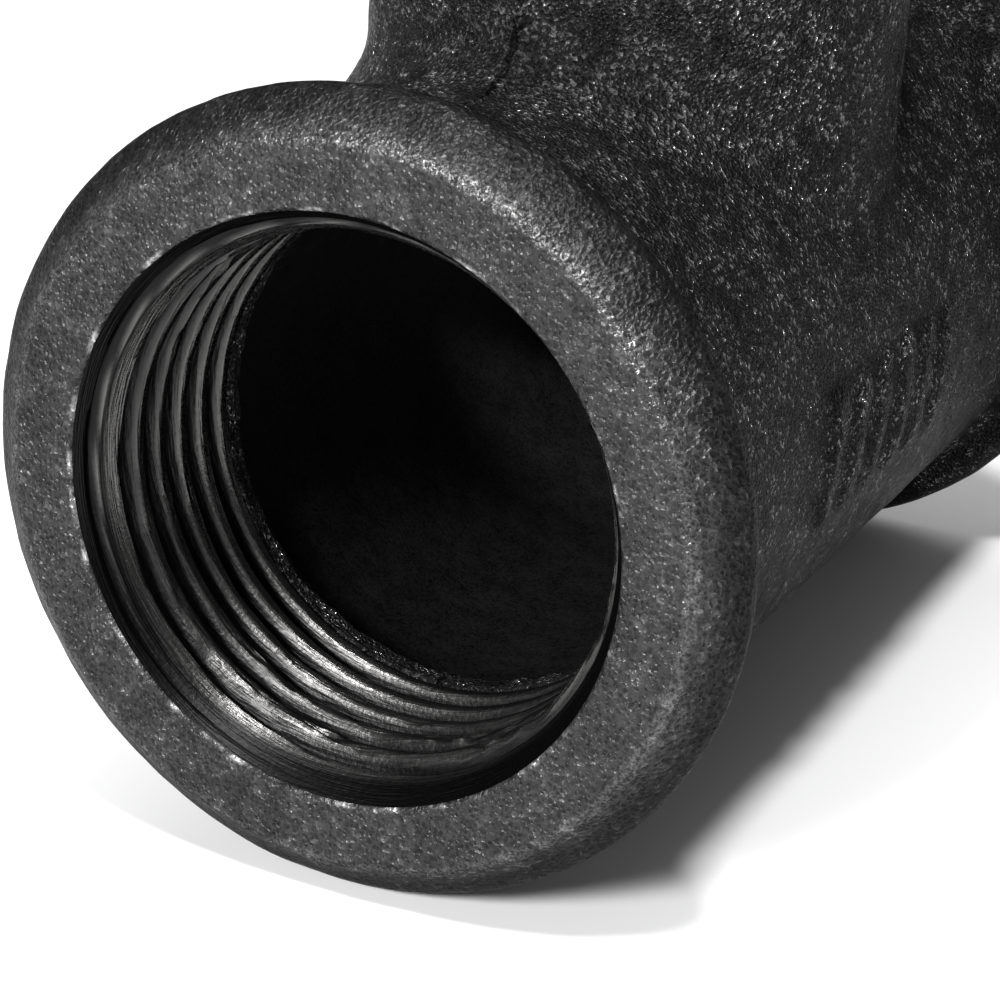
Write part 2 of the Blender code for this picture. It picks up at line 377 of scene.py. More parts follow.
    def _grains(self, graph: Graph, place: Wire, size_mm: float) -> tuple[Wire, Wire]:
        """Grains of about size_mm: the distance from each grain's middle, and which grains are drawn as
        painted glints.
        """
        coarse = {"Vector": place, "Scale": 0.6 / (size_mm * MM)}
        wander = graph.node("ShaderNodeTexNoise", {}, coarse, "Color")
        parts = {0: wander, 1: (1.4 * size_mm * MM,) * 3, 2: place}
        moved = graph.node("ShaderNodeVectorMath", {"operation": "MULTIPLY_ADD"}, parts)
        values = {"Vector": moved, "Scale": 1 / (size_mm * MM)}
        distance = graph.node("ShaderNodeTexVoronoi", {}, values, "Distance")
        chance = Wire(graph, distance.socket.node.outputs["Color"])
        return distance * (0.35 + 1.3 * chance), chance.ramp(0.68, 0.78)

    def _seam(self, graph: Graph, place: Wire, region: CastRegion) -> Wire:
        """The mould's parting line: a ragged crack in the plane through both axes, on the body only,
        drawn darker as painted shade.
        """
        wobble = graph.noise(place, 1.1 * MM, 3.0, 0.55)
        offset = (region.across / MM + self.seam_wander_mm * (wobble - 0.5)).magnitude()
        broken = graph.noise(place, 0.8 * MM, 2.0, 0.55).ramp(0.32, 0.46)
        line = offset.ramp(self.seam_half_width_mm, 0.0) * broken
        return line * (1 - region.bands) * (1 - region.chamber)


@dataclass(frozen=True)
class CutFinish:
    """Tapped thread in malleable iron: dark and oily, with torn crests drawn lighter, partly as rubbed
    metal and partly as a painted highlight, and roots drawn darker as painted shade.
    """

    name: str = "tapped_thread"
    dark: float = 0.013
    light: float = 0.120
    streak_mm: float = 0.09
    streak_length_mm: float = 2.5
    speck_mm: float = 0.22
    crest_wear_and_light: float = 0.7
    streak_rub: float = 0.5
    wear_and_light_offset: float = 0.15
    wear_and_light_range: Pair = (0.1, 1.5)
    relief_mm: float = 0.06
    streak_share: float = 0.9
    roughness: float = 0.24
    speck_roughness: float = 0.22
    root_roughness: float = 0.12
    metallic: float = 0.95
    reflection: float = 0.2
    edge_shine: float = 0.3

    def build(self, end: End) -> bpy.types.Material:
        """Makes the material for one socket.

        Args:
            end: the socket; its axis is the one that the tool marks run round.

        Returns:
            A node material on Object coordinates.
        """
        material, graph, shader = start_material(f"{self.name}_{end.name.lower()}")
        place = graph.node("ShaderNodeTexCoord", {}, {}, "Object")
        streaks = self._tool_marks(graph, place, end)
        specks = graph.noise(place, self.speck_mm * MM, 3.0)
        crest = graph.node("ShaderNodeAttribute", {"attribute_name": "crest"}, {}, "Fac")
        # Crests are drawn lighter, partly as rubbed metal and partly as a painted highlight. Roots are
        # drawn darker as painted shade.
        wear_and_painted_light = crest * self.crest_wear_and_light + streaks * self.streak_rub - self.wear_and_light_offset
        wear_and_lit_share = wear_and_painted_light.ramp(*self.wear_and_light_range)
        height = streaks * self.streak_share + specks.ramp(0.3, 0.7) * (1 - self.streak_share)
        roughness = self.roughness + self.speck_roughness * (specks - 0.5)
        graph.feed(shader, {
            "Base Color": graph.blend(wear_and_lit_share, grey(self.dark), grey(self.light, 0.015)),
            "Roughness": roughness + self.root_roughness * (1 - wear_and_lit_share),
            "Normal": graph.bump(height, self.relief_mm * MM),
            "Metallic": self.metallic,
            "Specular IOR Level": self.reflection,
            "Specular Tint": grey(self.edge_shine),
        })
        return material

    def _tool_marks(self, graph: Graph, place: Wire, end: End) -> Wire:
        """Noise drawn out round the socket's axis and fine along it."""
        fine, drawn = 1 / (self.streak_mm * MM), 1 / (self.streak_length_mm * MM)
        scale = tuple(fine if abs(part) > 0.5 else drawn for part in end.outward)
        stretched = graph.node("ShaderNodeVectorMath", {"operation": "MULTIPLY"}, {0: place, 1: scale})
        return graph.noise(stretched, 1.0, 3.0)


# ---- sizes


def curve(start: Pair, corner: Pair, finish: Pair, steps: int) -> Outline:
    """A rounding between two straight runs that would meet at the corner, without its first point."""
    points = []
    for along in np.linspace(0, 1, steps + 1)[1:]:
        parts = ((1 - along) ** 2, 2 * along * (1 - along), along**2)
        depth, radius = np.dot(parts, (start, corner, finish))
        points.append((float(depth), float(radius)))
    return points


@dataclass(frozen=True)
class Socket:
    """Sizes of one threaded end."""

    centre_to_end: float
    band_radius: float
    band_rounding: float
    wall_radius: float
    thread_major: float
    thread_minor: float
    mouth_radius: float
    thread_length: float
    chamber_radius: float
    band_half_width: float = 2.2 * MM
    fillet_length: float = 2.2 * MM
    ring_wall: float = 0.5 * MM
    ledge_length: float = 0.5 * MM
    CREASE_FALL = 0.63
    CREASE_REACH = 0.10
    CORNER_DEPTH = 0.78
    STRAIGHT_ENDS = (0.14, 0.62)
    BEAD_END = math.radians(32)
    LIP = ((0.12 * MM, -0.085 * MM), (0.05 * MM, -0.03 * MM), (0.0, 0.07 * MM))

    @property
    def seat_radius(self) -> float:
        """Radius of the hidden seat behind the thread."""
        return self.thread_major + self.ring_wall + 0.12 * MM

    def bead(self, angle: float) -> Pair:
        """A point of the band's back; pi / 2 is its widest circle."""
        depth = self.band_half_width * (1 + math.cos(angle))
        return depth, self.band_radius - self.band_rounding * (1 - math.sin(angle))

    def shoulder(self) -> Outline:
        """The band's front from the flat face over a soft crease and a straight shoulder."""
        crease = (0.0, self.band_radius - self.CREASE_FALL * self.band_rounding)
        corner = (self.CORNER_DEPTH * self.band_half_width, self.band_radius)
        widest = (self.band_half_width, self.band_radius)
        face = (0.0, crease[1] - self.CREASE_REACH * self.band_rounding)
        slope = np.subtract(corner, crease)
        start, finish = (tuple(np.add(crease, slope * part)) for part in self.STRAIGHT_ENDS)
        straight = curve(start, start, finish, 4)[1:]
        return [*curve(face, crease, start, 8), *straight, *curve(finish, corner, widest, 10)]

    def outside(self) -> Outline:
        """The outer outline from the mouth's lip over the band and down to the wall."""
        edge, shoulder = self.mouth_radius, self.shoulder()
        lip = [(depth, edge + step) for depth, step in self.LIP]
        face_end = shoulder[0][1] - 0.05 * MM
        face = [(0.0, float(radius)) for radius in np.linspace(edge + 0.35 * MM, face_end, 7)]
        bead = [self.bead(angle) for angle in np.linspace(math.pi / 2, self.BEAD_END, 11)[1:]]
        return [*lip, *face, *shoulder, *bead, *self._fillet(bead[-1])]

    def _fillet(self, start: Pair) -> Outline:
        """The concave curve from the back of the band to the wall, tangent to both."""
        fall = start[1] - self.wall_radius
        slope = self.band_half_width * math.tan(self.BEAD_END) / self.band_rounding
        corner = (start[0] + fall * slope, self.wall_radius)
        finish = (corner[0] + self.fillet_length, self.wall_radius)
        return curve(start, corner, finish, 8)

    def inside(self) -> Outline:
        """The inner outline from the lip's back: hidden seat, cast ledge, then the chamber's wall."""
        seat, ledge = self.seat_radius, self.thread_minor + 0.02 * MM
        start = self.thread_length - 0.35 * MM
        depths = np.linspace(start, start + self.ledge_length + 0.5 * MM, 7)
        slope = [
            (depths[-1] + step * 1.2 * MM, ledge + step * (self.chamber_radius - ledge))
            for step in (0.33, 0.67, 1.0)
        ]
        seat_rows = [(0.45 * MM, seat), (start - 0.4 * MM, seat)]
        return [*seat_rows, *((float(depth), ledge) for depth in depths), *slope]


def tee_sockets() -> dict[End, Socket]:
    """Reads the sockets' lengths and band radii off the CAD model; the other sizes are given, and thread
    sizes are the pipe standard's.
    """
    low, high = (Vector(corner) for corner in CAD_BOX)
    run_band = (high.y - low.y) / 2
    branch_low, branch_high = (Vector(corner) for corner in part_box("branch_band"))
    run = Socket(
        centre_to_end=(high.x - low.x) / 2,
        band_radius=run_band,
        band_rounding=3.1 * MM,
        wall_radius=15.9 * MM,
        thread_major=26.441 * MM / 2,
        thread_minor=24.117 * MM / 2,
        mouth_radius=13.54 * MM,
        thread_length=11.5 * MM,
        chamber_radius=12.9 * MM,
    )
    branch = Socket(
        centre_to_end=high.z - run_band,
        band_radius=(branch_high.x - branch_low.x) / 2,
        band_rounding=2.2 * MM,
        wall_radius=13.35 * MM,
        thread_major=20.955 * MM / 2,
        thread_minor=18.631 * MM / 2,
        mouth_radius=10.8 * MM,
        thread_length=10.5 * MM,
        chamber_radius=10.2 * MM,
    )
    return {End.NEAR: run, End.FAR: run, End.BRANCH: branch}


def socket_matrix(end: End, socket: Socket, axis_height: float) -> Matrix:
    """Moves a socket's frame, whose z runs inwards from its mouth, to its place on the tee."""
    mouth = Vector((0, 0, axis_height)) + end.outward * socket.centre_to_end
    turn = (-end.outward).to_track_quat("Z", "Y").to_matrix().to_4x4()
    return Matrix.Translation(mouth) @ turn


# ---- meshes


def lattice_noise(points: Points, size: float, seed: int) -> np.ndarray:
    """Smooth noise between -1 and 1 from random values on a cubic lattice.

    Args:
        points: an array whose last axis is x, y, z.
        size: the lattice's spacing.
        seed: which lattice.

    Returns:
        One value for each point.
    """
    cell = points / size
    base = np.floor(cell)
    part = cell - base
    part = part * part * (3 - 2 * part)
    whole = base.astype(np.int64)
    total = np.zeros(points.shape[:-1])
    for corner in np.ndindex(2, 2, 2):
        key = whole + np.array(corner)
        mixed = key[..., 0] * 73856093 ^ key[..., 1] * 19349663 ^ key[..., 2] * 83492791
        mixed = (mixed ^ seed * 2654435761) & 0xFFFFFFFF
        mixed = (mixed ^ mixed >> 15) * 2246822519 & 0xFFFFFFFF
        mixed = (mixed ^ mixed >> 13) * 3266489917 & 0xFFFFFFFF
        value = (mixed ^ mixed >> 16) / 0xFFFFFFFF * 2 - 1
        weight = np.where(np.array(corner), part, 1 - part).prod(axis=-1)
        total += value * weight
    return total


def place_object(name: str, data: bpy.types.ID) -> bpy.types.Object:
    """Puts a new object that shows the data in the scene."""
    item = bpy.data.objects.new(name, data)
    bpy.context.collection.objects.link(item)
    return item


def finish_mesh(mesh: bpy.types.Mesh, sharp_degrees: float, bridged: bool = False) -> None:
    """Turns the faces outwards and shades them smooth; bridged first joins two open loops."""
    builder = bmesh.new()
    builder.from_mesh(mesh)
    if bridged:
        bmesh.ops.bridge_loops(builder, edges=[edge for edge in builder.edges if edge.is_boundary])
    bmesh.ops.recalc_face_normals(builder, faces=builder.faces)
    builder.to_mesh(mesh)
    builder.free()
    mesh.shade_smooth()
    mesh.set_sharp_from_angle(angle=math.radians(sharp_degrees))


def mesh_object(
    name: str, points: Points, faces: Sequence[Sequence[int]], material: bpy.types.Material
) -> bpy.types.Object:
    """Makes a shaded object at the origin with its faces turned outwards."""
    mesh = bpy.data.meshes.new(name)
    mesh.from_pydata(points.tolist(), [], faces)
    finish_mesh(mesh, 50)
    mesh.materials.append(material)
    return place_object(name, mesh)


def ring_faces(first: Sequence[int], second: Sequence[int]) -> list[tuple[int, int, int, int]]:
    """Quads between two closed loops of vertices that have the same number."""
    return [(first[i], first[i - 1], second[i - 1], second[i]) for i in range(len(first))]


@dataclass
class Marks:
    """The foundry marks: a row of generic upright strokes on the barrel's side."""

    count: int = 6
    spacing: float = 3.3 * MM
    first_x: float = -10.0 * MM
    half_width: float = 0.55 * MM
    rise: float = 0.34 * MM
    low: float = math.radians(-9)
    high: float = math.radians(9)
    lean: float = 1.2 * MM
    softness: float = 0.45 * MM

    def heights(self, along: np.ndarray, angle: np.ndarray, radius: float) -> np.ndarray:
        """How far the strokes raise the barrel's skin.

        Args:
            along: places along the run.
            angle: angles up from the barrel's side, towards its top.
            radius: the barrel's outer radius.

        Returns:
            Heights, 0 away from the strokes.
        """
        total = np.zeros_like(along)
        middle, reach = (self.low + self.high) / 2, (self.high - self.low) / 2
        for index in range(self.count):
            fall = (self.high - angle) / (self.high - self.low)
            line = self.first_x + self.spacing * index - self.lean * fall
            past_end = np.maximum(np.abs(angle - middle) - reach, 0) * radius
            away = np.hypot(along - line, past_end)
            edge = np.clip((self.half_width + self.softness - away) / self.softness, 0, 1)
            total = np.maximum(total, edge * edge * (3 - 2 * edge))
        return total * self.rise


@dataclass
class Casting:
    """The tee's one iron casting: barrel, neck, bands, chamber and marks in a single closed skin.

    The skin is a turned run tube with a window in its outer and its inner wall. A patch leads from each
    window's border to the foot of the branch, whose sections follow a ball rolled in the crotch.
    """

    sockets: dict[End, Socket]
    axis_height: float
    finish: CastFinish = field(default_factory=CastFinish)
    marks: Marks = field(default_factory=Marks)
    window_columns: int = 90
    window_rows: int = 94
    columns: int = 226
    window_half: float = 21.0 * MM
    inner_window_half: float = 13.6 * MM
    crotch_fillet: float = 4.5 * MM
    inner_fillet: float = 0.8 * MM
    swelling: float = 1.3 * MM
    swelling_top: float = 15.9 * MM
    swelling_angle: float = math.radians(115)
    swelling_spread: float = math.radians(55)
    swelling_fall: float = 3.4 * MM
    swelling_reach: float = 19 * MM
    swelling_fade: float = 4 * MM
    outside_run: float = 15 * MM
    outside_branch: float = 12.5 * MM
    waves: tuple[tuple[float, float, int], ...] = (
        (0.055 * MM, 6.0 * MM, 3),
        (0.032 * MM, 2.0 * MM, 5),
        (0.026 * MM, 0.9 * MM, 7),
    )
    lumps: tuple[tuple[Place, float, float], ...] = (
        ((-26.4, -0.3, 17.7), 0.75, 0.55),
        ((-26.3, -1.6, 17.6), 0.75, 0.65),
        ((-26.3, -3.0, 17.3), 0.70, -0.60),
    )
    trued_width: float = 0.6 * MM
    trued_share: float = 0.1
    crumb_height: float = 0.12 * MM
    fin_height: float = 0.20 * MM
    fin_width: float = 0.42 * MM
    fin_end: float = 23 * MM
    fin_top: float = 25 * MM
    patch_rings: int = 8
    arc_rings: int = 12
    inner_arc_rings: int = 3
    neck_rings: int = 16
    inner_neck_rings: int = 8
    points: list[Points] = field(default_factory=list)
    faces: list[tuple[int, ...]] = field(default_factory=list)

    @property
    def run(self) -> Socket:
        """Sizes shared by both run sockets."""
        return self.sockets[End.NEAR]

    @property
    def branch(self) -> Socket:
        """Sizes of the branch socket."""
        return self.sockets[End.BRANCH]

    def _add(self, block: Points) -> np.ndarray:
        """Stores a block of points and returns their numbers, in the block's own shape."""
        start = sum(len(stored) for stored in self.points)
        self.points.append(block.reshape(-1, 3))
        return start + np.arange(block[..., 0].size).reshape(block.shape[:-1])

    def _run_rows(self) -> tuple[Outline, int, int]:
        """The run tube's closed outline as (x, radius), and where each window's rows start in it."""
        length = self.run.centre_to_end
        outside, inside = self.run.outside(), self.run.inside()
        window = np.linspace(-self.window_half, self.window_half, self.window_rows + 1)
        inner = np.linspace(self.inner_window_half, -self.inner_window_half, self.window_rows + 1)
        rows = [(depth - length, radius) for depth, radius in outside]
        rows += self._straight(rows[-1], float(window[0]))
        outer_start = len(rows)
        rows += [(float(x), self.run.wall_radius) for x in window]
        rows += [(-x, radius) for x, radius in reversed(rows[:outer_start])]
        rows += [(length - depth, radius) for depth, radius in inside]
        inner_start = len(rows)
        rows += [(float(x), self.run.chamber_radius) for x in inner]
        rows += [(depth - length, radius) for depth, radius in reversed(inside)]
        return rows, outer_start, inner_start

    def _straight(self, start: Pair, finish: float) -> Outline:
        """Rows on the straight wall between a fillet's end and a window."""
        places = np.linspace(start[0], finish, 8)[1:-1]
        return [(float(x), self.run.wall_radius) for x in places]

    def _run_tube(self) -> dict[Side, np.ndarray]:
        """Builds the run tube without its windows.

        Returns:
            For each wall, the window's border as vertex numbers, in order round the branch.
        """
        rows, outer_start, inner_start = self._run_rows()
        angles = math.tau * (np.arange(self.columns) - self.window_columns / 2) / self.columns
        x, radius = (np.array(column)[:, None] for column in zip(*rows))
        across, up = radius * np.sin(angles), radius * np.cos(angles)
        grid = self._add(np.stack([np.broadcast_to(x, across.shape), across, up], axis=-1))
        starts = {Side.OUTER: outer_start, Side.INNER: inner_start}
        for row in range(len(rows)):
            in_window = any(0 <= row - start < self.window_rows for start in starts.values())
            first = self.window_columns if in_window else 0
            following = grid[(row + 1) % len(rows)]
            for column in range(first, self.columns):
                after = (column + 1) % self.columns
                corners = grid[row][column], grid[row][after], following[after], following[column]
                self.faces.append(corners)
        return {side: self._border(grid, start, side) for side, start in starts.items()}

    def _border(self, grid: np.ndarray, start: int, side: Side) -> np.ndarray:
        """A window's border, from its (+x, -y) corner, counter-clockwise seen from above."""
        block = grid[start : start + self.window_rows + 1, : self.window_columns + 1]
        if side is Side.OUTER:
            block = block[::-1]
        right, top = block[0, :-1], block[:-1, -1]
        left, bottom = block[-1, :0:-1], block[:0:-1, 0]
        return np.concatenate([right, top, left, bottom])

    def _branch_angles(self) -> np.ndarray:
        """The angle round the branch of each border vertex, the same for both windows."""
        columns = np.linspace(-1, 1, self.window_columns + 1)
        rows = np.linspace(1, -1, self.window_rows + 1)
        side, end = np.ones(self.window_columns), np.ones(self.window_rows)
        x = [side, rows[:-1], -side, rows[:0:-1]]
        y = [columns[:-1], end, columns[:0:-1], -end]
        return np.arctan2(np.concatenate(y), np.concatenate(x))

    def _crotch(self, angles: np.ndarray, side: Side) -> Points:
        """Sections of the fillet where the branch meets the run.

        Args:
            angles: angles round the branch.
            side: which wall.

        Returns:
            An array of angle by arc step by xyz, from the run's wall to the branch's.
        """
        if side is Side.OUTER:
            run, branch = self.run.wall_radius, self.branch.wall_radius
            fillet, steps = self.crotch_fillet, self.arc_rings
        else:
            run, branch = self.run.chamber_radius, self.branch.chamber_radius
            fillet, steps = self.inner_fillet, self.inner_arc_rings
        reach, clearance = branch + fillet, run + fillet
        x, y = reach * np.cos(angles), reach * np.sin(angles)
        centre = np.stack([x, y, np.sqrt(clearance**2 - y**2)], axis=-1)
        to_run = centre * np.array([0, -1, -1]) / clearance
        to_branch = centre * np.array([-1, -1, 0]) / reach
        turn = np.arccos(np.clip((to_run * to_branch).sum(-1), -1, 1))[:, None, None]
        along = np.linspace(0, 1, steps + 1)[None, :, None]
        spoke = np.sin((1 - along) * turn) * to_run[:, None] + np.sin(along * turn) * to_branch[:, None]
        return centre[:, None] + fillet * spoke / np.sin(turn)

    def _neck_sections(self, angles: np.ndarray) -> Points:
        """The branch's sections from its outer foot, over its mouth, down to its inner foot."""
        outer, inner = self._crotch(angles, Side.OUTER), self._crotch(angles, Side.INNER)
        outline = [*reversed(self.branch.outside()), *self.branch.inside()]
        depth, radius = (np.array(column) for column in zip(*outline))
        x, y = np.outer(np.cos(angles), radius), np.outer(np.sin(angles), radius)
        z = np.broadcast_to(self.branch.centre_to_end - depth, x.shape)
        turned = np.stack([x, y, z], axis=-1)
        rise = self._between(outer[:, -1], turned[:, 0], self.neck_rings)
        fall = self._between(turned[:, -1], inner[:, -1], self.inner_neck_rings)
        return np.concatenate([outer, rise, turned, fall, inner[:, ::-1]], axis=1)

    @staticmethod
    def _between(start: Points, finish: Points, steps: int) -> Points:
        """Evenly spaced points between two loops, without the loops themselves."""
        along = np.linspace(0, 1, steps + 1)[1:-1, None]
        return start[:, None] * (1 - along) + finish[:, None] * along

    def _patch(self, border: np.ndarray, foot: np.ndarray, radius: float) -> None:
        """Joins a window's border to the branch's foot along the run's wall."""
        places = np.concatenate(self.points)
        ends = places[foot], places[border]
        first, last = (np.stack([x, np.arctan2(y, z)], axis=-1) for x, y, z in (end.T for end in ends))
        rings = [foot]
        for along in np.linspace(0, 1, self.patch_rings + 1)[1:-1]:
            x, angle = (first * (1 - along) + last * along).T
            ring = np.stack([x, radius * np.sin(angle), radius * np.cos(angle)], axis=-1)
            rings.append(self._add(ring))
        rings.append(border)
        for near, far in zip(rings, rings[1:]):
            self.faces += ring_faces(near, far)

    def _skin_height(self, points: Points) -> np.ndarray:
        """How far the cast skin stands off its drawn shape: waves, lumps, marks and parting flash."""
        height = sum(rise * lattice_noise(points, size, seed) for rise, size, seed in self.waves)
        x, y, z = points.T
        radius = np.hypot(y, z)
        outside = radius > self.run.wall_radius - 0.5 * MM
        on_barrel = (np.abs(x) < self.window_half) & outside & (y < 0)
        angle = np.arctan2(z, -y)
        eaten = 0.7 + 0.3 * lattice_noise(points, 1.1 * MM, 17)
        height += np.where(on_barrel, eaten * self.marks.heights(x, angle, self.run.wall_radius), 0)
        height += self._crumbs(points, radius) + self._lumps(points)
        height *= self._calm(points, radius)
        return height + self._flash(points) + self._swelling(points)

    def _calm(self, points: Points, radius: np.ndarray) -> np.ndarray:
        """1 on the cast skin, and little at the mouths' edges, which the tap's chamfer trued."""
        x, y, z = points.T
        trued = np.zeros(len(points), dtype=bool)
        for socket, place, reach in (self.run, np.abs(x), radius), (self.branch, z, np.hypot(x, y)):
            at_mouth = place > socket.centre_to_end - self.trued_width
            trued |= at_mouth & (reach < socket.mouth_radius + self.trued_width)
        return np.where(trued, self.trued_share, 1.0)

    def _crumbs(self, points: Points, radius: np.ndarray) -> np.ndarray:
        """The crumbly cast edge of the ledge where each run thread ends."""
        past_thread = self.run.centre_to_end - np.abs(points[:, 0]) - self.run.thread_length
        on_ledge = (past_thread > -0.4 * MM) & (past_thread < 2.6 * MM) & (radius < 12.5 * MM)
        rough = lattice_noise(points, 0.75 * MM, 19) + 0.6 * lattice_noise(points, 2.6 * MM, 23)
        return np.where(on_ledge, self.crumb_height * rough, 0)

    def _lumps(self, points: Points) -> np.ndarray:
        """A small lump of iron and the pit beside it, at the top of the crotch behind the near band."""
        total = np.zeros(len(points))
        for place, reach, height in self.lumps:
            away = np.linalg.norm(points - np.array(place) * MM, axis=-1) / (reach * MM)
            total += height * MM * np.exp(-(away**2))
        return total

    def _swelling(self, points: Points) -> np.ndarray:
        """Extra iron in the crotch behind the branch, where the mould's corner was filled more."""
        x, y, z = points.T
        reach = np.hypot(x, y)
        turn = np.arctan2(y, x) - self.swelling_angle
        aside = np.clip(1 - (turn / self.swelling_spread) ** 2, 0, 1)
        low = np.clip((self.swelling_top - z) / self.swelling_fall, 0, 1) ** 2
        near = np.clip((self.swelling_reach - reach) / self.swelling_fade, 0, 1)
        outside = (np.hypot(y, z) > self.outside_run) & (reach > self.outside_branch) & (z > 0)
        return np.where(outside, self.swelling * aside * low * near, 0)

    def _flash(self, points: Points) -> np.ndarray:
        """The ragged fin left along the mould's parting plane, on the neck and under the barrel."""
        x, y, z = points.T
        across = y + 0.25 * MM * lattice_noise(points, 2.2 * MM, 11)
        fin = np.exp(-((across / self.fin_width) ** 2))
        ragged = 0.5 + 0.5 * lattice_noise(points, 1.3 * MM, 13)
        past_run, past_branch = np.hypot(y, z) - self.outside_run, np.hypot(x, y) - self.outside_branch
        outside = np.maximum(past_run, past_branch) > 0
        on_body = (np.abs(x) < self.fin_end) & (z < self.fin_top) & outside
        return np.where(on_body, self.fin_height * fin * ragged, 0)

    def build(self) -> bpy.types.Object:
        """Builds the closed skin, roughens it and dresses it.

        Returns:
            The casting.
        """
        borders = self._run_tube()
        sections = self._neck_sections(self._branch_angles())
        neck = self._add(sections)
        for first, second in zip(neck.T, neck.T[1:]):
            self.faces += ring_faces(first, second)
        self._patch(borders[Side.OUTER], neck[:, 0], self.run.wall_radius)
        self._patch(borders[Side.INNER], neck[:, -1], self.run.chamber_radius)
        points = np.concatenate(self.points)
        faces = [tuple(map(int, face)) for face in self.faces]
        item = mesh_object("casting", points, faces, self.finish.build())
        self._roughen(item.data, points)
        return item

    def _roughen(self, mesh: bpy.types.Mesh, points: Points) -> None:
        """Moves each vertex along its normal, then lifts the casting to its place."""
        normals = np.empty(len(points) * 3, dtype=np.float32)
        mesh.vertex_normals.foreach_get("vector", normals)
        moved = points + normals.reshape(-1, 3) * self._skin_height(points)[:, None]
        moved[:, 2] += self.axis_height
        moved = np.clip(moved, *CAD_BOX)
        mesh.vertices.foreach_set("co", moved.astype(np.float32).ravel())
        mesh.update()


